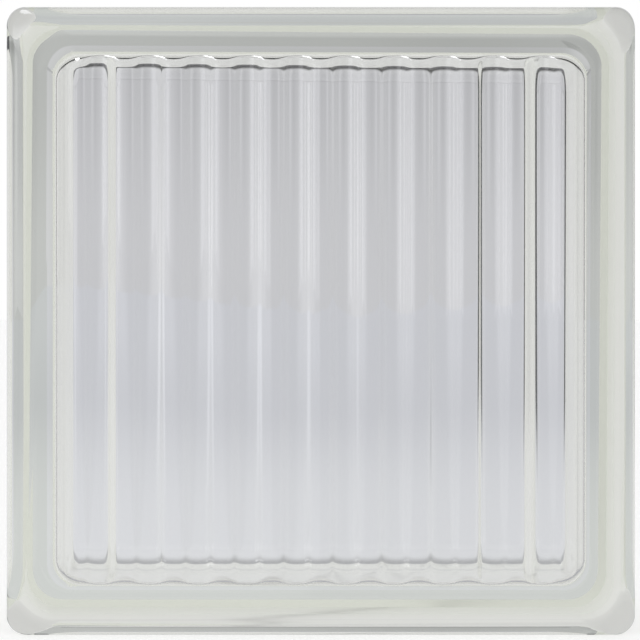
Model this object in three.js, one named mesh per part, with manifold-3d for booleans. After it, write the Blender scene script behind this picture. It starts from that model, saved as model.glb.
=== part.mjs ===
// A hollow pressed-glass building block with vertical ribs inside its front face.
//
// The block is made as the real one is: two pressed trays of glass, each with a face plate
// and four side walls, joined rim to rim at mid depth. The front tray faces -Y and has the
// ribs. The back tray has the same outside and is plain within.
//
// Millimetres, +Z up. The origin is at the middle of the underside.
import * as THREE from "three";
import { mergeVertices } from "three/addons/utils/BufferGeometryUtils.js";
import Module from "manifold-3d";

const wasm = await Module();
wasm.setup();

// Overall size of the block.
const FACE_SIDE = 190;
const BLOCK_DEPTH = 80;

// The lip round each face: the widest part of the block. Its rounded edge reaches further
// across the face than it does along the depth, and the corners of the flat face turn on a
// wider arc than those of the lip.
const FACE_EDGE_WIDTH = 6.5;
const FACE_EDGE_DEPTH = 4.6;
const FACE_CORNER_RADIUS = 11.4;
const LIP_DEPTH = 10;
const CORNER_RADIUS = 5.4;

// The mortar channel between the lips, reached by a soft sloping shoulder. Its corners turn
// on a wider arc than those of the lips.
const CHANNEL_SINK = 3.5;
const SHOULDER_DEPTH = 6;
const CHANNEL_CORNER_RADIUS = 11;

// The rounded bead that the joined rims leave round the middle of the channel.
const BEAD_HEIGHT = 1.4;
const BEAD_HALF_WIDTH = 2.6;

// The hollow inside each tray: its walls lean outwards from the plate to the rim, and meet
// the plate in a rounded foot.
const PLATE_THICKNESS = 7.8;
const RIM_WALL_THICKNESS = 7.3;
const CAVITY_DRAFT_ANGLE = 7.2;
const CAVITY_CORNER_RADIUS = 8;
const FRONT_FOOT_RADIUS = 4.4;
const BACK_FOOT_RADIUS = 5.3;

// The ribs inside the front plate: crests and grooves are rounded alike, as in a wave.
const RIB_PITCH = 14.85;
const RIB_HEIGHT = 2.45;
const RIB_CREST_SHARE = 0.53;
const GROOVE_RISE = 0.2;

// How finely round stretches are divided.
const CORNER_STEPS = 8;
const EDGE_STEPS = 5;
const SHOULDER_STEPS = 4;
const BEAD_STEPS = 4;
const RIB_ARC_STEPS = 6;

const QUARTER_TURN = Math.PI / 2;
const TRAY_DEPTH = BLOCK_DEPTH / 2;
const CHANNEL_HALF_WIDTH = FACE_SIDE / 2 - CHANNEL_SINK;

// One ring of a loft: a rounded square of this half width at this depth behind the face.
function ring(depth, halfWidth, cornerRadius) {
  return { depth, halfWidth, cornerRadius };
}

// The points of a rounded square, anticlockwise, with the same count whatever its size.
function roundedSquarePoints({ halfWidth, cornerRadius }) {
  const centre = halfWidth - cornerRadius;
  const points = [];
  for (let corner = 0; corner < 4; corner++) {
    const start = corner * QUARTER_TURN;
    const towards = start + QUARTER_TURN / 2;
    const arc = new THREE.EllipseCurve(
      centre * Math.sign(Math.cos(towards)),
      centre * Math.sign(Math.sin(towards)),
      cornerRadius,
      cornerRadius,
      start,
      start + QUARTER_TURN,
    );
    points.push(...arc.getPoints(CORNER_STEPS));
  }
  return points;
}

// A closed body through a stack of rounded squares, each deeper than the one before it.
function loft(rings) {
  const outlines = rings.map(roundedSquarePoints);
  const count = outlines[0].length;
  const last = rings.length - 1;
  const positions = outlines.flatMap((outline, level) =>
    outline.flatMap((point) => [point.x, point.y, rings[level].depth]),
  );
  const faces = [];
  for (let level = 0; level < last; level++) {
    for (let i = 0; i < count; i++) {
      const near = level * count + i;
      const nearNext = level * count + ((i + 1) % count);
      faces.push(near, nearNext, nearNext + count);
      faces.push(near, nearNext + count, near + count);
    }
  }
  for (let i = 1; i < count - 1; i++) {
    faces.push(0, i + 1, i);
    faces.push(last * count, last * count + i, last * count + i + 1);
  }
  const geometry = new THREE.BufferGeometry();
  geometry.setAttribute("position", new THREE.Float32BufferAttribute(positions, 3));
  geometry.setIndex(faces);
  return geometry;
}

// A closed three.js geometry as a manifold-3d solid, for joining and cutting.
function solidFrom(geometry) {
  const bare = geometry.clone();
  bare.deleteAttribute("normal");
  bare.deleteAttribute("uv");
  const merged = mergeVertices(bare);
  return new wasm.Manifold(
    new wasm.Mesh({
      numProp: 3,
      vertProperties: merged.getAttribute("position").array,
      triVerts: new Uint32Array(merged.getIndex().array),
    }),
  );
}

// A manifold-3d solid as a three.js geometry with flat-shaded faces.
function geometryFrom(solid) {
  const mesh = solid.getMesh();
  const geometry = new THREE.BufferGeometry();
  geometry.setAttribute("position", new THREE.BufferAttribute(mesh.vertProperties, 3));
  geometry.setIndex(new THREE.BufferAttribute(mesh.triVerts, 1));
  const faceted = geometry.toNonIndexed();
  faceted.computeVertexNormals();
  return faceted;
}

// The outside of one tray, from its face to its rim.
function trayOutside() {
  const lip = FACE_SIDE / 2;
  const rings = [];
  for (let step = 0; step <= EDGE_STEPS; step++) {
    const turn = (step / EDGE_STEPS) * QUARTER_TURN;
    const depth = FACE_EDGE_DEPTH * (1 - Math.cos(turn));
    const share = 1 - Math.sin(turn);
    const cornerRadius = THREE.MathUtils.lerp(CORNER_RADIUS, FACE_CORNER_RADIUS, share);
    rings.push(ring(depth, lip - FACE_EDGE_WIDTH * share, cornerRadius));
  }
  for (let step = 0; step <= SHOULDER_STEPS; step++) {
    const along = step / SHOULDER_STEPS;
    const fallen = (1 - Math.cos(along * Math.PI)) / 2;
    const cornerRadius = THREE.MathUtils.lerp(CORNER_RADIUS, CHANNEL_CORNER_RADIUS, fallen);
    rings.push(
      ring(LIP_DEPTH + SHOULDER_DEPTH * along, lip - CHANNEL_SINK * fallen, cornerRadius),
    );
  }
  for (let step = 0; step <= BEAD_STEPS; step++) {
    const turn = (step / BEAD_STEPS) * QUARTER_TURN;
    const rise = BEAD_HEIGHT * Math.sin(turn);
    const depth = TRAY_DEPTH - BEAD_HALF_WIDTH * Math.cos(turn);
    rings.push(ring(depth, CHANNEL_HALF_WIDTH + rise, CHANNEL_CORNER_RADIUS + rise));
  }
  return solidFrom(loft(rings));
}

// Half the width of the hollow at this depth: its walls lean outwards towards the rim.
function hollowHalfWidth(depth) {
  const draft = THREE.MathUtils.degToRad(CAVITY_DRAFT_ANGLE);
  const atRim = CHANNEL_HALF_WIDTH - RIM_WALL_THICKNESS;
  return atRim - (TRAY_DEPTH - depth) * Math.tan(draft);
}

// The room inside one tray, from the floor of the plate to just past the rim.
function trayHollow(footRadius) {
  const endTurn = QUARTER_TURN - THREE.MathUtils.degToRad(CAVITY_DRAFT_ANGLE);
  const endDepth = PLATE_THICKNESS + footRadius * (1 - Math.cos(endTurn));
  const rimOverrun = 1;
  const rings = [];
  for (let step = 0; step <= EDGE_STEPS; step++) {
    const turn = (step / EDGE_STEPS) * endTurn;
    const depth = PLATE_THICKNESS + footRadius * (1 - Math.cos(turn));
    const inset = footRadius * (Math.sin(endTurn) - Math.sin(turn));
    rings.push(
      ring(depth, hollowHalfWidth(endDepth) - inset, CAVITY_CORNER_RADIUS - inset),
    );
  }
  const pastRim = TRAY_DEPTH + rimOverrun;
  rings.push(ring(pastRim, hollowHalfWidth(pastRim), CAVITY_CORNER_RADIUS));
  return solidFrom(loft(rings));
}

// The ribbed field that stands on the plate: crests and grooves are arcs that meet tangent.
// The flat of the plate takes as many whole ribs as fit, with a groove in the middle, and one
// more on each side rises into the rounded foot of the wall.
function ribField() {
  const flatHalf = hollowHalfWidth(PLATE_THICKNESS) - FRONT_FOOT_RADIUS;
  const ribCount = 2 * (Math.floor(flatHalf / RIB_PITCH) + 1);
  const halfPitch = RIB_PITCH / 2;
  const slope = 2 * Math.atan(RIB_HEIGHT / halfPitch);
  const arcSum = halfPitch / Math.sin(slope);
  const crestRadius = arcSum * RIB_CREST_SHARE;
  const grooveRadius = arcSum - crestRadius;
  const grooveDepth = PLATE_THICKNESS + GROOVE_RISE;
  const crestDepth = grooveDepth + RIB_HEIGHT;
  const fieldHalf = (ribCount * RIB_PITCH) / 2;
  const underside = PLATE_THICKNESS / 2;

  const profile = new THREE.Shape();
  profile.moveTo(fieldHalf, underside);
  profile.lineTo(fieldHalf, grooveDepth);
  for (let rib = 0; rib < ribCount; rib++) {
    const crest = fieldHalf - (rib + 0.5) * RIB_PITCH;
    const grooveCentre = grooveDepth + grooveRadius;
    const crestCentre = crestDepth - crestRadius;
    const down = -QUARTER_TURN;
    const up = QUARTER_TURN;
    profile.absarc(crest + halfPitch, grooveCentre, grooveRadius, down, down - slope, true);
    profile.absarc(crest, crestCentre, crestRadius, up - slope, up + slope, false);
    profile.absarc(crest - halfPitch, grooveCentre, grooveRadius, down + slope, down, true);
  }
  profile.lineTo(-fieldHalf, underside);

  const field = new THREE.ExtrudeGeometry(profile, {
    depth: FACE_SIDE,
    steps: 1,
    curveSegments: RIB_ARC_STEPS,
    bevelEnabled: false,
  });
  // The profile is drawn across the ribs and into the block; the sweep runs along them.
  field.translate(0, 0, -FACE_SIDE / 2);
  field.rotateX(QUARTER_TURN);
  return solidFrom(field);
}

// One pressed tray: face plate at depth 0 looking along -z, ribs along y, rim at TRAY_DEPTH.
function ribbedTray() {
  const hollow = trayHollow(FRONT_FOOT_RADIUS).subtract(ribField());
  return geometryFrom(trayOutside().subtract(hollow));
}

// The tray behind it, the same but for the ribs.
function plainTray() {
  return geometryFrom(trayOutside().subtract(trayHollow(BACK_FOOT_RADIUS)));
}

function glassMaterial() {
  return new THREE.MeshStandardMaterial({
    color: new THREE.Color().setRGB(0.86, 0.9, 0.87),
    roughness: 0.05,
    metalness: 0,
    transparent: true,
    opacity: 0.45,
  });
}

function tray(name, geometry, facing) {
  const mesh = new THREE.Mesh(geometry, glassMaterial());
  mesh.name = name;
  mesh.rotation.x = -QUARTER_TURN;
  mesh.position.y = -TRAY_DEPTH;
  const turned = new THREE.Group();
  turned.rotation.z = facing;
  turned.position.z = FACE_SIDE / 2;
  turned.add(mesh);
  return turned;
}

const glassBlock = new THREE.Group();
glassBlock.name = "glass_block";
glassBlock.add(tray("front_tray", ribbedTray(), 0));
glassBlock.add(tray("back_tray", plainTray(), Math.PI));

export default glassBlock;
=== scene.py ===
"""A hollow pressed-glass building block, standing on a pale floor in a soft studio.

The block is modelled as one fused body of glass: an outer shell with rounded lips and a
mortar channel, and a sealed hollow inside it whose front wall is pressed into ribs.
Everything is in metres, +Z up, with the front face towards -Y.
"""
import math

import bmesh
import bpy
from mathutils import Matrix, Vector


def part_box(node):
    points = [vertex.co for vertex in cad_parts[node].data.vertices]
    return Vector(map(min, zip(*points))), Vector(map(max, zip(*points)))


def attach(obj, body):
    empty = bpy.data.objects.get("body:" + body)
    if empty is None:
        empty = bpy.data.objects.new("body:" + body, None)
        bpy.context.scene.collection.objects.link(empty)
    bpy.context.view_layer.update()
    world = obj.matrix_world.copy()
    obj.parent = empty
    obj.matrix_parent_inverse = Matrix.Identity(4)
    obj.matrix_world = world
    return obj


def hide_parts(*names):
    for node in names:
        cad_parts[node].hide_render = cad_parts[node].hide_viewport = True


MM = 0.001
AXIS = ("x", "y", "z")
# Places closer together than this count as the same.
SAME_PLACE = 1e-5

# Rounded edges of the two faces. The bevel makes them EDGE_DEPTH deep all round, and its
# rings are then moved to each edge's own width and depth.
EDGE_DEPTH = 4.6 * MM
EDGE_WIDTH = 6.5 * MM
# Width and depth on the front, which differ a little from side to side.
FRONT_EDGES = {
    "left": (5.8 * MM, 5.4 * MM),
    "right": (5.8 * MM, 3.9 * MM),
    "bottom": (5.0 * MM, 3.8 * MM),
    "top": (6.5 * MM, 7.0 * MM),
}
FRONT_EDGE_DEPTH = max(depth for _, depth in FRONT_EDGES.values())
FACE_CORNER_RADIUS = 11.4 * MM

# Mortar edges: a lip at each face, a channel between the lips, and a seam bead in its middle.
LIP_DEPTH = 10 * MM
CHANNEL_SINK = 3.5 * MM
SHOULDER_DEPTH = 6 * MM
SHOULDER_SOFTNESS = 2.2 * MM
CORNER_RADIUS = 5.4 * MM
CHANNEL_CORNER_RADIUS = 11 * MM
# How far short of a corner's arc a point may lie and still move with it.
CORNER_SLACK = 0.5 * MM
BEAD_HEIGHT = 1.4 * MM
BEAD_HALF_WIDTH = 2.6 * MM
BEAD_CREST_ROUNDING = 0.6 * BEAD_HALF_WIDTH
BEAD_FOOT_ROUNDING = 0.54 * MM

# Hollow.
PLATE_THICKNESS = 7.8 * MM
RIM_WALL_THICKNESS = 7.3 * MM
DRAFT_ANGLE = math.radians(7.2)
HOLLOW_CORNER_RADIUS = 8 * MM
FRONT_FOOT_RADIUS = 4.4 * MM
BACK_FOOT_RADIUS = 5.3 * MM

# Ribs pressed inside the front plate.
RIB_COUNT = 12
RIB_PITCH = 14.85 * MM
RIB_HEIGHT = 2.45 * MM
RIB_CREST_SHARE = 0.53
RIB_BLEND = 1.0 * MM
RIB_SHIFT = 0.05 * MM

# How finely rounded stretches are divided.
CORNER_STEPS = 14
EDGE_STEPS = 10
FOOT_STEPS = 16
SOFT_STEPS = 6
BEAD_FOOT_STEPS = 3
STEPS_PER_RIB = 24
# The bevel profile that makes a true arc.
ARC_PROFILE = 0.5
# Edges that turn by less than this are shaded smooth.
SMOOTH_BELOW = math.radians(35)

# Glass, and what a metre of it takes from red, green and blue light, as exponents.
GLASS_IOR = 1.52
GLASS_DEPTH_LOSS = (2.25, 1.92, 3.0)

# Milky coating on the mortar edges: it leaves the front lip clear, and at the back it runs
# over the lip and on to the rounded edge of the face.
COATING_FROM = -30 * MM
COATING_TO = 39.75 * MM
COATING_COLOUR = (0.982, 0.981, 0.968)
COATING_ROUGHNESS = 0.6
# The share of the coating that lets light through, where the rest gives it back.
COATING_CLEARNESS = 0.75
# Towards its front edge the coating's colour is darkened to this share, as painted shade.
COATING_FRONT_SHADE = (-26 * MM, -19 * MM)
COATING_FRONT_SHADE_SHARE = 0.83

# Camera: level, a little left of and above the middle, and shifted to frame the block.
CAMERA_DISTANCE = 0.80
CAMERA_OFFSET = (-0.0288, 0.0183)
SENSOR_WIDTH = 36
PICTURE_SIDE = 640
BLOCK_SIDE_IN_PICTURE = 631.6
BLOCK_CENTRE_IN_PICTURE = (321.1, 320.7)

# How often a ray may go through or off glass, and how often it may scatter.
CLEAR_BOUNCES = 24
SCATTER_BOUNCES = 6

WHITE = (1, 1, 1, 1)


# ---------------------------------------------------------------- modelling helpers
def start_box(name, centre, half_sizes):
    bpy.ops.object.select_all(action="DESELECT")
    bpy.ops.mesh.primitive_cube_add(size=2, location=centre, scale=half_sizes)
    piece = bpy.context.object
    piece.name = piece.data.name = name
    bpy.ops.object.transform_apply(location=True, rotation=False, scale=True)
    bpy.ops.object.mode_set(mode="EDIT")
    return piece


def pick(piece, kind, wanted):
    """Selects the vertices, edges or faces whose every corner passes the test."""
    bpy.ops.mesh.select_mode(type=kind)
    bpy.ops.mesh.select_all(action="DESELECT")
    shape = bmesh.from_edit_mesh(piece.data)
    parts = {"VERT": shape.verts, "EDGE": shape.edges, "FACE": shape.faces}[kind]
    for part in parts:
        corners = [part.co] if kind == "VERT" else [v.co for v in part.verts]
        if wanted(corners):
            part.select_set(True)
    bmesh.update_edit_mesh(piece.data)


def near(value, target):
    return abs(value - target) < SAME_PLACE


def cut_across(axis, place, centre_height):
    """Cuts the selected faces by a plane square to an axis."""
    normal = [float(axis == name) for name in AXIS]
    point = [0, 0, centre_height]
    point[AXIS.index(axis)] = place
    bpy.ops.mesh.bisect(plane_co=point, plane_no=normal)


def resize_across(scale, centre_height):
    bpy.ops.transform.resize(value=(scale, 1, scale), center_override=(0, 0, centre_height))


def round_off(radius, steps):
    bpy.ops.mesh.bevel(
        offset=radius, offset_type="OFFSET", segments=steps, affect="EDGES",
        profile=ARC_PROFILE, clamp_overlap=False,
    )


def round_corners(piece, centre_height, radius):
    """Rounds the four corners, along the edges that run from front to back."""
    def at_corner(co):
        return near(abs(co.x), abs(co.z - centre_height))

    pick(piece, "EDGE", lambda c: all(map(at_corner, c)) and not near(c[0].y, c[1].y))
    round_off(radius, CORNER_STEPS)


# ---------------------------------------------------------------- outer shell
def turn_corners(piece, middle, ring_at):
    """Gives rings other half widths and corner radii. ring_at(y) tells a ring's own half width
    and radius, its new half widths to the left, right, bottom and top, its new radius and its
    new place in depth, or nothing where a ring stays as it is."""
    shape = bmesh.from_edit_mesh(piece.data)
    for corner in shape.verts:
        ring = ring_at(corner.co.y)
        if not ring:
            continue
        half, radius, new_halves, new_radius, new_y = ring
        left, right, bottom, top = new_halves
        aside, above = corner.co.x, corner.co.z - middle
        centre = half - radius
        if min(abs(aside), abs(above)) < centre - CORNER_SLACK:
            continue
        turn = math.atan2(max(abs(above) - centre, 0), max(abs(aside) - centre, 0))
        reach_x = (left if aside < 0 else right) - new_radius * (1 - math.cos(turn))
        reach_z = (bottom if above < 0 else top) - new_radius * (1 - math.sin(turn))
        corner.co.y = new_y
        corner.co.x = math.copysign(reach_x, aside)
        corner.co.z = middle + math.copysign(reach_z, above)
    bmesh.update_edit_mesh(piece.data)


def edge_inset(width, depth, sunk):
    """How far in from the side an elliptical edge is, at a depth below the face."""
    level = 1 - min(max(sunk, 0) / depth, 1)
    return width * (1 - math.sqrt(1 - level * level))


def press_channel(piece, half_side, channel_half, lip_end, channel_end):
    """Sinks the mortar channel between the lips, and leaves a bead in its middle."""
    rings = (lip_end, channel_end, BEAD_HALF_WIDTH)
    for ring in (0, *rings, *(-ring for ring in rings)):
        bpy.ops.mesh.select_all(action="SELECT")
        cut_across("y", ring, half_side)
    pick(piece, "VERT", lambda c: abs(c[0].y) < channel_end + SAME_PLACE)
    resize_across(channel_half / half_side, half_side)
    pick(piece, "VERT", lambda c: near(c[0].y, 0))
    resize_across((channel_half + BEAD_HEIGHT) / channel_half, half_side)


def widen_channel_corners(piece, half_side, channel_half, channel_end):
    def channel_ring(y):
        if abs(y) < channel_end + SAME_PLACE:
            half = channel_half + BEAD_HEIGHT * near(y, 0)
            return half, CORNER_RADIUS, [half] * 4, CHANNEL_CORNER_RADIUS, y

    turn_corners(piece, half_side, channel_ring)


def round_rings(piece, half_depth, lip_end, channel_end):
    """Rounds the shell's rings, from the channel's shoulders to the edges of the faces."""
    for place, radius, steps in (
        (lip_end, SHOULDER_SOFTNESS, SOFT_STEPS),
        (channel_end, SHOULDER_SOFTNESS, SOFT_STEPS),
        (0, BEAD_CREST_ROUNDING, SOFT_STEPS),
        (BEAD_HALF_WIDTH, BEAD_FOOT_ROUNDING, BEAD_FOOT_STEPS),
        (half_depth, EDGE_DEPTH, EDGE_STEPS),
    ):
        pick(piece, "EDGE", lambda c: all(near(abs(co.y), place) for co in c))
        round_off(radius, steps)


def shape_face_edges(piece, half_side, half_depth):
    """Gives the edge of each face its own width and depth on every side."""
    def face_ring(y):
        sunk = max(half_depth - abs(y), 0)
        if sunk < EDGE_DEPTH + SAME_PLACE:
            share = edge_inset(1, EDGE_DEPTH, sunk)
            widened = CORNER_RADIUS + (FACE_CORNER_RADIUS - CORNER_RADIUS) * share
            edges, new_sunk = [(EDGE_WIDTH, EDGE_DEPTH)] * 4, sunk
            if y < 0:
                edges, new_sunk = FRONT_EDGES.values(), sunk * FRONT_EDGE_DEPTH / EDGE_DEPTH
            halves = [half_side - edge_inset(*edge, new_sunk) for edge in edges]
            rounded = half_side - EDGE_DEPTH * share, CORNER_RADIUS - EDGE_DEPTH * share
            return *rounded, halves, widened, math.copysign(half_depth - new_sunk, y)

    turn_corners(piece, half_side, face_ring)


def outer_shell(half_side, half_depth):
    piece = start_box("outer_shell", (0, 0, half_side), (half_side, half_depth, half_side))
    channel_half = half_side - CHANNEL_SINK
    lip_end = half_depth - LIP_DEPTH
    channel_end = lip_end - SHOULDER_DEPTH
    press_channel(piece, half_side, channel_half, lip_end, channel_end)
    round_corners(piece, half_side, CORNER_RADIUS)
    widen_channel_corners(piece, half_side, channel_half, channel_end)
    round_rings(piece, half_depth, lip_end, channel_end)
    shape_face_edges(piece, half_side, half_depth)
    bpy.ops.object.mode_set(mode="OBJECT")
    return piece


# ---------------------------------------------------------------- ribbed hollow
def rib_height_at(x):
    """Height of the pressed wave: crests and grooves are arcs that meet tangent."""
    x -= RIB_SHIFT
    half_pitch = RIB_PITCH / 2
    slope = 2 * math.atan(RIB_HEIGHT / half_pitch)
    arc_sum = half_pitch / math.sin(slope)
    crest_radius = arc_sum * RIB_CREST_SHARE
    groove_radius = arc_sum - crest_radius
    from_crest = abs((x + RIB_COUNT * half_pitch) % RIB_PITCH - half_pitch)
    from_groove = half_pitch - from_crest
    if from_crest <= crest_radius * math.sin(slope):
        return RIB_HEIGHT - crest_radius + math.sqrt(crest_radius**2 - from_crest**2)
    return groove_radius - math.sqrt(groove_radius**2 - from_groove**2)


def soft_maximum(a, b, blend):
    """The larger of two heights, with a soft passage where they come within the blend."""
    overlap = max(blend - abs(a - b), 0) / blend
    return max(a, b) + overlap * overlap * blend / 4


def foot_offset(radius):
    """How far from its edge a foot's arc begins, where the wall leans by the draft."""
    return radius * math.tan((math.pi / 2 - DRAFT_ANGLE) / 2)


def press_ribs(piece, half_side, end):
    """Cuts the front floor of the hollow into narrow strips and raises them to the wave."""
    field_half = RIB_COUNT * RIB_PITCH / 2
    cuts = RIB_COUNT * STEPS_PER_RIB
    for cut in range(cuts + 1):
        pick(piece, "FACE", lambda c: all(co.y < -end + FRONT_FOOT_RADIUS for co in c))
        cut_across("x", RIB_SHIFT - field_half + cut * 2 * field_half / cuts, half_side)
    shape = bmesh.from_edit_mesh(piece.data)
    for corner in shape.verts:
        above_floor = corner.co.y + end
        rib = rib_height_at(corner.co.x)
        if above_floor < FRONT_FOOT_RADIUS and rib > 0:
            corner.co.y = soft_maximum(above_floor, rib, RIB_BLEND) - end
    bmesh.update_edit_mesh(piece.data)


def hollow_shell(half_side, half_depth):
    rim_half = half_side - CHANNEL_SINK - RIM_WALL_THICKNESS
    end = half_depth - PLATE_THICKNESS
    end_half = rim_half - end * math.tan(DRAFT_ANGLE)
    piece = start_box("hollow", (0, 0, half_side), (rim_half, end, rim_half))
    bpy.ops.mesh.select_all(action="SELECT")
    cut_across("y", 0, half_side)
    pick(piece, "VERT", lambda c: near(abs(c[0].y), end))
    resize_across(end_half / rim_half, half_side)
    round_corners(piece, half_side, HOLLOW_CORNER_RADIUS)
    for place, radius in ((-end, FRONT_FOOT_RADIUS), (end, BACK_FOOT_RADIUS)):
        pick(piece, "EDGE", lambda c: all(near(co.y, place) for co in c))
        round_off(foot_offset(radius), FOOT_STEPS)
    press_ribs(piece, half_side, end)
    bpy.ops.mesh.select_all(action="SELECT")
    bpy.ops.mesh.normals_make_consistent(inside=True)
    bpy.ops.object.mode_set(mode="OBJECT")
    return piece


# ---------------------------------------------------------------- node helpers
def lin(value):
    """A shade from 0 to 255, as a screen shows it, in linear light."""
    value /= 255
    return value / 12.92 if value <= 0.04045 else ((value + 0.055) / 1.055) ** 2.4


def new_material(name):
    material = bpy.data.materials.new(name)
    material.use_nodes = True
    tree = material.node_tree
    return material, tree, tree.nodes["Principled BSDF"]


def feed(tree, socket, given):
    """Links an output to a socket, or sets the socket to a plain value."""
    if hasattr(given, "node"):
        tree.links.new(given, socket)
    else:
        socket.default_value = given


def maths(tree, operation, *inputs):
    node = tree.nodes.new("ShaderNodeMath")
    node.operation = operation
    for socket, given in zip(node.inputs, inputs):
        feed(tree, socket, given)
    return node.outputs[0]


def product(tree, first, *others):
    for other in others:
        first = maths(tree, "MULTIPLY", first, other)
    return first


def ramp_between(tree, value, *limits):
    """A soft change: while value goes between the first two limits, the result goes between
    the last two, and beyond them it stays."""
    node = tree.nodes.new("ShaderNodeMapRange")
    node.interpolation_type = "SMOOTHSTEP"
    sockets = ("Value", "From Min", "From Max", "To Min", "To Max")
    for name, given in zip(sockets, (value, *limits)):
        feed(tree, node.inputs[name], given)
    return node.outputs["Result"]


def place_axes(tree, coordinates):
    """The x, y and z of a place on the piece, or of a direction in the world."""
    place = tree.nodes.new("ShaderNodeTexCoord")
    split = tree.nodes.new("ShaderNodeSeparateXYZ")
    tree.links.new(place.outputs[coordinates], split.inputs[0])
    return split.outputs


def join_channels(tree, channels):
    node = tree.nodes.new("ShaderNodeCombineColor")
    for socket, given in zip(node.inputs, channels):
        feed(tree, socket, given)
    return node.outputs[0]


def mix_colours(tree, blend_type, share, first, second):
    node = tree.nodes.new("ShaderNodeMix")
    node.data_type = "RGBA"
    node.blend_type = blend_type
    # A colour mix has its factor at 0, its two colours at 6 and 7, and its result at 2.
    for index, given in ((0, share), (6, first), (7, second)):
        feed(tree, node.inputs[index], given)
    return node.outputs[2]


def mix_shaders(tree, share, first, second):
    node = tree.nodes.new("ShaderNodeMixShader")
    for socket, given in zip(node.inputs, (share, first, second)):
        feed(tree, socket, given)
    return node.outputs[0]


def glow(tree, colour, strength):
    node = tree.nodes.new("ShaderNodeEmission")
    feed(tree, node.inputs["Color"], colour)
    feed(tree, node.inputs["Strength"], strength)
    return node.outputs[0]


# ---------------------------------------------------------------- materials
def depth_tint():
    """A node group: what a depth of glass leaves of a colour, for light that crosses it a
    number of times. Both materials use it."""
    group = bpy.data.node_groups.new("depth_tint", "ShaderNodeTree")
    sockets = group.interface
    for name in ("Depth", "Crossings", "Share"):
        sockets.new_socket(name, in_out="INPUT", socket_type="NodeSocketFloat")
    for side in ("INPUT", "OUTPUT"):
        sockets.new_socket("Colour", in_out=side, socket_type="NodeSocketColor")
    given = group.nodes.new("NodeGroupInput").outputs
    split = group.nodes.new("ShaderNodeSeparateColor")
    group.links.new(given["Colour"], split.inputs[0])
    crossed = maths(group, "MULTIPLY", given["Depth"], given["Crossings"])
    channels = []
    for full, loss in zip(split.outputs, GLASS_DEPTH_LOSS):
        left = maths(group, "EXPONENT", maths(group, "MULTIPLY", crossed, -loss))
        channels.append(product(group, left, full, given["Share"]))
    result = group.nodes.new("NodeGroupOutput")
    group.links.new(join_channels(group, channels), result.inputs["Colour"])
    return group


def after_depth(tree, tint, colour, crossings, share=1):
    """A colour as it is left by the glass a ray has come through to the surface it meets."""
    path = tree.nodes.new("ShaderNodeLightPath")
    surface = tree.nodes.new("ShaderNodeNewGeometry")
    depth = maths(tree, "MULTIPLY", path.outputs["Ray Length"], surface.outputs["Backfacing"])
    node = tree.nodes.new("ShaderNodeGroup")
    node.node_tree = tint
    for name, given in (
        ("Depth", depth), ("Crossings", crossings), ("Share", share), ("Colour", (*colour, 1)),
    ):
        feed(tree, node.inputs[name], given)
    return node.outputs["Colour"]


def pressed_glass(tint):
    material, tree, glass = new_material("pressed_glass")
    # Glass tints by the root of its colour, so the loss counts for two crossings.
    feed(tree, glass.inputs["Base Color"], after_depth(tree, tint, (1, 1, 1), 2))
    glass.inputs["Roughness"].default_value = 0.0
    glass.inputs["IOR"].default_value = GLASS_IOR
    glass.inputs["Transmission Weight"].default_value = 1.0
    return material


def milky_coating(tint):
    material, tree, coat = new_material("milky_coating")
    _, back, _ = place_axes(tree, "Object")
    # Painted shade: the coating's colour darkens towards its front edge.
    front_shade = ramp_between(tree, back, *COATING_FRONT_SHADE, COATING_FRONT_SHADE_SHARE, 1)
    colour = after_depth(tree, tint, COATING_COLOUR, 1, front_shade)
    feed(tree, coat.inputs["Base Color"], colour)
    coat.inputs["Roughness"].default_value = COATING_ROUGHNESS
    through = tree.nodes.new("ShaderNodeBsdfTranslucent")
    feed(tree, through.inputs["Color"], colour)
    blend = mix_shaders(tree, COATING_CLEARNESS, coat.outputs[0], through.outputs[0])
    feed(tree, tree.nodes["Material Output"].inputs["Surface"], blend)
    return material


def glass_block(half_side, half_depth):
    outside = outer_shell(half_side, half_depth)
    inside = hollow_shell(half_side, half_depth)
    tint = depth_tint()
    glass, coating = pressed_glass(tint), milky_coating(tint)
    for piece in (inside, outside):
        piece.data.materials.append(glass)
        piece.data.materials.append(coating)
    for face in outside.data.polygons:
        face.material_index = int(COATING_FROM < face.center.y < COATING_TO)
    bpy.ops.object.select_all(action="DESELECT")
    inside.select_set(True)
    outside.select_set(True)
    bpy.context.view_layer.objects.active = outside
    bpy.ops.object.join()
    piece = bpy.context.object
    piece.name = piece.data.name = "fused_glass"
    bpy.ops.object.shade_smooth_by_angle(angle=SMOOTH_BELOW)
    evener = piece.modifiers.new("even_shading", "WEIGHTED_NORMAL")
    evener.keep_sharp = True
    bpy.ops.object.modifier_apply(modifier=evener.name)
    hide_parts("front_tray", "back_tray")
    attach(piece, "root")


# ---------------------------------------------------------------- studio
# The camera sees white behind the block. Rays that glass has bent or mirrored see a painted
# room instead, and scattered light sees a plain one. Shades are as a screen shows them, from
# 0 to 255, and lights are linear, with 1 for white. Angles are in radians: across is to the
# right of straight ahead, and rise is above the horizon. Right, ahead and up are the parts of
# a direction of length 1. A pair of limits says where a soft change starts and where it ends.

# The wall at the horizon and higher up, on the left and on the right.
WALL_LEFT = (220, 208)
WALL_RIGHT = (205, 190)
WALL_RISE = (-0.01, 0.06)
WALL_STEP = (-0.16, 0.05)
# A darker band low on the wall, by rise, with the share of light in it and above it.
BAND_START = (0.075, 0.079)
BAND_END = (0.087, 0.095)
BAND_SHARE = 0.79
ABOVE_BAND_SHARE = 1.05
# Soft upright stripes: where each is, its half width, and the light that it adds, or takes
# where it is negative. The high ones fade in above the horizon, and the low one fades out.
HIGH_STRIPES = ((0.08, 0.055, -0.035), (0.178, 0.06, 0.085), (0.435, 0.07, 0.085))
HIGH_STRIPES_RISE = (-0.004, 0.040)
LOW_STRIPES = ((-0.36, 0.10, 0.06),)
LOW_STRIPES_RISE = (-0.01, 0.045)
ROOM_TINT = (0.985, 0.985, 1.035, 1)
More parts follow.
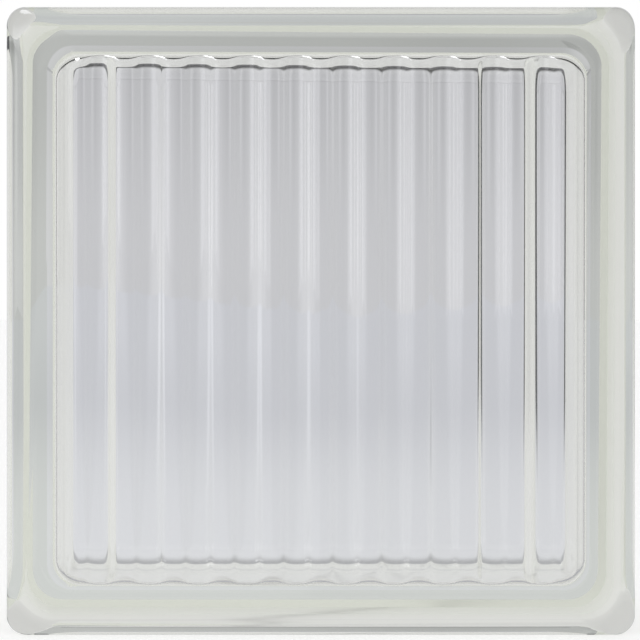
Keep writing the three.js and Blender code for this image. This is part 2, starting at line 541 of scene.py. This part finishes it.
# Where the room goes dark to the right, to the left and steeply above, and the share of light
# that is left there.
DARK_RIGHT = (0.50, 0.62)
DARK_RIGHT_SHARE = 0.06
DARK_LEFT = (-1.35, -1.0)
DARK_LEFT_SHARE = 0.15
DARK_ABOVE = (0.50, 0.72)
DARK_ABOVE_SHARE = 0.02
# A compact lamp overhead on the left: its light, how far up it begins, its place by the part
# to the right, and how far from there it fades to either side.
OVERHEAD_LAMP = 5.0
OVERHEAD_LAMP_UP = (0.85, 0.91)
OVERHEAD_LAMP_ASIDE = -0.36
OVERHEAD_LAMP_EDGE = (0.10, 0.18)
# The light of the room behind the camera, and where it takes over, by the part ahead.
BEHIND_CAMERA = 0.5
BEHIND_CAMERA_FROM = (-0.45, -0.15)
# A soft lamp in front of the block on its left: its light, and from where to where it fades
# in and out, by angle from straight behind the camera and by height.
SOFT_LAMP = 1.6
SOFT_LAMP_NEAR = (0.15, 0.60)
SOFT_LAMP_FAR = (1.00, 1.30)
SOFT_LAMP_BOTTOM = (-0.06, 0.0)
SOFT_LAMP_TOP = (0.35, 0.55)
# The light on what isn't glass falls off upwards and from left to right. The limits come
# first, and then the light at each.
LIGHT_ABOVE = (0.3, 0.9, 1.0, 0.77)
LIGHT_ASIDE = (-0.6, 0.6, 1.03, 0.93)


def away_from(tree, value, place):
    return maths(tree, "ABSOLUTE", maths(tree, "SUBTRACT", value, place))


def stripe(tree, across, where, half_width, gain):
    """A soft upright stripe: what it adds, by angle across."""
    return ramp_between(tree, away_from(tree, across, where), 0, half_width, gain, 0)


def seen_by_glass(tree):
    """1 for a ray that glass has bent or mirrored, and 0 for scattered light."""
    path = tree.nodes.new("ShaderNodeLightPath").outputs
    clear = maths(tree, "MAXIMUM", path["Is Transmission Ray"], path["Is Glossy Ray"])
    scattered = maths(tree, "MAXIMUM", path["Is Diffuse Ray"], path["Diffuse Depth"])
    unscattered = maths(tree, "SUBTRACT", 1.0, maths(tree, "MINIMUM", scattered, 1.0))
    return maths(tree, "MULTIPLY", clear, unscattered)


def wall_shade(tree, across, rise):
    left_shade = ramp_between(tree, rise, *WALL_RISE, *map(lin, WALL_LEFT))
    right_shade = ramp_between(tree, rise, *WALL_RISE, *map(lin, WALL_RIGHT))
    right_share = ramp_between(tree, across, *WALL_STEP, 0, 1)
    gap = maths(tree, "SUBTRACT", right_shade, left_shade)
    shade = maths(tree, "MULTIPLY_ADD", gap, right_share, left_shade)
    high_share = ramp_between(tree, rise, *HIGH_STRIPES_RISE, 0, 1)
    low_share = ramp_between(tree, rise, *LOW_STRIPES_RISE, 1, 0)
    for stripes, share in ((HIGH_STRIPES, high_share), (LOW_STRIPES, low_share)):
        for where, half_width, gain in stripes:
            added = product(tree, stripe(tree, across, where, half_width, gain), share)
            shade = maths(tree, "ADD", shade, added)
    into_band = ramp_between(tree, rise, *BAND_START, 1, BAND_SHARE)
    out_of_band = ramp_between(tree, rise, *BAND_END, 0, ABOVE_BAND_SHARE - BAND_SHARE)
    return product(tree, shade, maths(tree, "ADD", into_band, out_of_band))


def dimmed_room(tree, shade, across, ahead, up):
    steepness = maths(tree, "ARCTAN2", up, ahead)
    dark_right = ramp_between(tree, across, *DARK_RIGHT, 1, DARK_RIGHT_SHARE)
    dark_left = ramp_between(tree, across, *DARK_LEFT, DARK_LEFT_SHARE, 1)
    dark_above = ramp_between(tree, steepness, *DARK_ABOVE, 1, DARK_ABOVE_SHARE)
    return product(tree, shade, dark_right, dark_left, dark_above)


def overhead_lamp(tree, right, up):
    light = ramp_between(tree, up, *OVERHEAD_LAMP_UP, 0, OVERHEAD_LAMP)
    from_lamp = away_from(tree, right, OVERHEAD_LAMP_ASIDE)
    return product(tree, light, ramp_between(tree, from_lamp, *OVERHEAD_LAMP_EDGE, 1, 0))


def soft_lamp(tree, right, ahead, up):
    opposite = [maths(tree, "MULTIPLY", part, -1) for part in (right, ahead)]
    left_turn = maths(tree, "ARCTAN2", *opposite)
    return product(
        tree,
        ramp_between(tree, left_turn, *SOFT_LAMP_NEAR, 0, SOFT_LAMP),
        ramp_between(tree, left_turn, *SOFT_LAMP_FAR, 1, 0),
        ramp_between(tree, up, *SOFT_LAMP_BOTTOM, 0, 1),
        ramp_between(tree, up, *SOFT_LAMP_TOP, 1, 0),
    )


def room_seen_by_glass(tree, right, ahead, up):
    across = maths(tree, "ARCTAN2", right, ahead)
    shade = wall_shade(tree, across, maths(tree, "ARCSINE", up))
    shade = dimmed_room(tree, shade, across, ahead, up)
    shade = maths(tree, "ADD", shade, overhead_lamp(tree, right, up))
    seen = tree.nodes.new("ShaderNodeMix")
    feed(tree, seen.inputs["Factor"], ramp_between(tree, ahead, *BEHIND_CAMERA_FROM, 1, 0))
    feed(tree, seen.inputs["A"], shade)
    feed(tree, seen.inputs["B"], BEHIND_CAMERA)
    lit = maths(tree, "ADD", seen.outputs["Result"], soft_lamp(tree, right, ahead, up))
    return mix_colours(tree, "MULTIPLY", 1, lit, ROOM_TINT)


def studio_world():
    world = bpy.data.worlds.new("studio")
    bpy.context.scene.world = world
    world.use_nodes = True
    tree = world.node_tree
    tree.nodes.clear()
    right, ahead, up = place_axes(tree, "Generated")
    from_above = ramp_between(tree, up, *LIGHT_ABOVE)
    plain = product(tree, from_above, ramp_between(tree, right, *LIGHT_ASIDE))
    camera_ray = tree.nodes.new("ShaderNodeLightPath").outputs["Is Camera Ray"]
    white_or_plain = maths(tree, "MAXIMUM", camera_ray, plain)
    room = room_seen_by_glass(tree, right, ahead, up)
    background = tree.nodes.new("ShaderNodeBackground")
    colour = mix_colours(tree, "MIX", seen_by_glass(tree), white_or_plain, room)
    feed(tree, background.inputs["Color"], colour)
    output = tree.nodes.new("ShaderNodeOutputWorld")
    feed(tree, output.inputs["Surface"], background.outputs[0])


# ---------------------------------------------------------------- floor
FLOOR_SIDE = 8.4
FLOOR_PAINT = (0.8, 0.8, 0.8, 1)
FLOOR_ROUGHNESS = 0.9
# What lifts the paint to white where the camera sees it, and the even light that the floor
# gives to the coating.
FLOOR_LIFT = 0.3
FLOOR_LIGHT = 0.95
# The floor as glass shows it glows, with painted light and shade in it: red, green and blue
# shades near the block and far behind it, and how far back they reach.
FLOOR_NEAR = (226, 227, 232)
FLOOR_FAR = (208, 209, 216)
FLOOR_REACH = (0.2, 1.2)
# A painted shadow that darkens the floor as glass shows it, from right behind the block
# forwards:
# where it fades, by distance back, and its share.
FLOOR_PAINTED_SHADOW = (0.045, 0.070)
FLOOR_PAINTED_SHADOW_SHARE = 0.6
# By angle across, where the left side turns into the right one. Painted shade makes the right
# a little darker, and far back painted light makes the left a little brighter.
FLOOR_STEP = (-0.07, 0.05)
FLOOR_RIGHT_SHARE = 0.965
FLOOR_FAR_LEFT = (0.8, 2.6)
FLOOR_FAR_LEFT_GAIN = 0.065
# Far back, a painted stripe of light in line with the wall's low one, as a share of the shade.
FLOOR_BRIGHT_STRIPE = (-0.36, 0.10, 0.20)
# Far back on the right the floor goes dark with painted shade, as the wall does.
FLOOR_DARK_BACK = (0.35, 0.9)
FLOOR_DARK_LOSS = 0.9


def floor_gain(tree, aside, back):
    """How bright the floor that glass shows is in each place, as a share of its shade: its
    painted light and painted shade.
    """
    across = maths(tree, "ARCTAN2", aside, back)
    # Painted shadow: darker from right behind the block forwards.
    painted_shadow = ramp_between(tree, back, *FLOOR_PAINTED_SHADOW, FLOOR_PAINTED_SHADOW_SHARE, 1)
    right_side = ramp_between(tree, across, *FLOOR_STEP, 1, FLOOR_RIGHT_SHARE)
    left_share = ramp_between(tree, across, *FLOOR_STEP, 1, 0)
    far_left_gain = ramp_between(tree, back, *FLOOR_FAR_LEFT, 0, FLOOR_FAR_LEFT_GAIN)
    far_left = maths(tree, "MULTIPLY", left_share, far_left_gain)
    far_share = ramp_between(tree, back, *FLOOR_REACH, 0, 1)
    bright = maths(tree, "MULTIPLY", stripe(tree, across, *FLOOR_BRIGHT_STRIPE), far_share)
    far_right = ramp_between(tree, across, *DARK_RIGHT, 0, 1)
    dark_loss = ramp_between(tree, back, *FLOOR_DARK_BACK, 0, FLOOR_DARK_LOSS)
    dark = maths(tree, "MULTIPLY", far_right, dark_loss)
    return product(
        tree, painted_shadow, right_side,
        maths(tree, "ADD", far_left, 1.0),
        maths(tree, "ADD", bright, 1.0),
        maths(tree, "SUBTRACT", 1.0, dark),
    )


# The floor glows for glass, with painted light and shade in the glow.
def floor_seen_by_glass(tree):
    aside, back, _ = place_axes(tree, "Object")
    gain = floor_gain(tree, aside, back)
    channels = []
    for near_shade, far_shade in zip(FLOOR_NEAR, FLOOR_FAR):
        channel = ramp_between(tree, back, *FLOOR_REACH, lin(near_shade), lin(far_shade))
        channels.append(maths(tree, "MULTIPLY", channel, gain))
    return glow(tree, join_channels(tree, channels), 1)


def studio_floor():
    bpy.ops.mesh.primitive_plane_add(size=FLOOR_SIDE, location=(0, 0, 0))
    floor = bpy.context.object
    floor.name = "floor"
    material, tree, paint = new_material("floor_paint")
    floor.data.materials.append(material)
    paint.inputs["Base Color"].default_value = FLOOR_PAINT
    paint.inputs["Roughness"].default_value = FLOOR_ROUGHNESS
    path = tree.nodes.new("ShaderNodeLightPath").outputs
    lift = glow(tree, WHITE, maths(tree, "MULTIPLY", path["Is Camera Ray"], FLOOR_LIFT))
    lifted = tree.nodes.new("ShaderNodeAddShader")
    feed(tree, lifted.inputs[0], paint.outputs[0])
    feed(tree, lifted.inputs[1], lift)
    even_light = glow(tree, WHITE, FLOOR_LIGHT)
    plain = mix_shaders(tree, path["Is Diffuse Ray"], lifted.outputs[0], even_light)
    surface = mix_shaders(tree, seen_by_glass(tree), plain, floor_seen_by_glass(tree))
    feed(tree, tree.nodes["Material Output"].inputs["Surface"], surface)


# ---------------------------------------------------------------- camera and rendering
def camera(half_side, half_depth):
    data = bpy.data.cameras.new("camera")
    view = bpy.data.objects.new("camera", data)
    bpy.context.collection.objects.link(view)
    aside, above = CAMERA_OFFSET
    view.location = (aside, -half_depth - CAMERA_DISTANCE, half_side + above)
    view.rotation_euler = (math.radians(90), 0, 0)
    half_view = half_side * PICTURE_SIDE / BLOCK_SIDE_IN_PICTURE
    data.sensor_width = SENSOR_WIDTH
    data.lens = data.sensor_width / 2 * CAMERA_DISTANCE / half_view
    middle = PICTURE_SIDE / 2
    centre_x, centre_y = BLOCK_CENTRE_IN_PICTURE
    data.shift_x = -aside / (2 * half_view) - (centre_x - middle) / PICTURE_SIDE
    data.shift_y = -above / (2 * half_view) + (centre_y - middle) / PICTURE_SIDE
    bpy.context.scene.camera = view


def render_settings():
    """Shows colours as they are written, lets rays go far enough through the glass, and keeps
    reflections sharp."""
    scene = bpy.context.scene
    scene.view_settings.view_transform = "Standard"
    scene.cycles.max_bounces = CLEAR_BOUNCES
    scene.cycles.transmission_bounces = CLEAR_BOUNCES
    scene.cycles.glossy_bounces = CLEAR_BOUNCES
    scene.cycles.diffuse_bounces = SCATTER_BOUNCES
    scene.cycles.blur_glossy = 0.0


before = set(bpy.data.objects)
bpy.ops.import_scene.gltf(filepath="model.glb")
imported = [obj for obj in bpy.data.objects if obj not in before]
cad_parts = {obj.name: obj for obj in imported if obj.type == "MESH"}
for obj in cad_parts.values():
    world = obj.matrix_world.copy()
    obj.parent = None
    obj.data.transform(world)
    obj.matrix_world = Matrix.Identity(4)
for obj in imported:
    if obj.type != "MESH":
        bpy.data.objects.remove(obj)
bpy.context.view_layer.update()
front_low, front_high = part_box("front_tray")
_, back_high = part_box("back_tray")
half_side = (front_high.x - front_low.x) / 2
half_depth = (back_high.y - front_low.y) / 2
glass_block(half_side, half_depth)
studio_floor()
studio_world()
camera(half_side, half_depth)
render_settings()
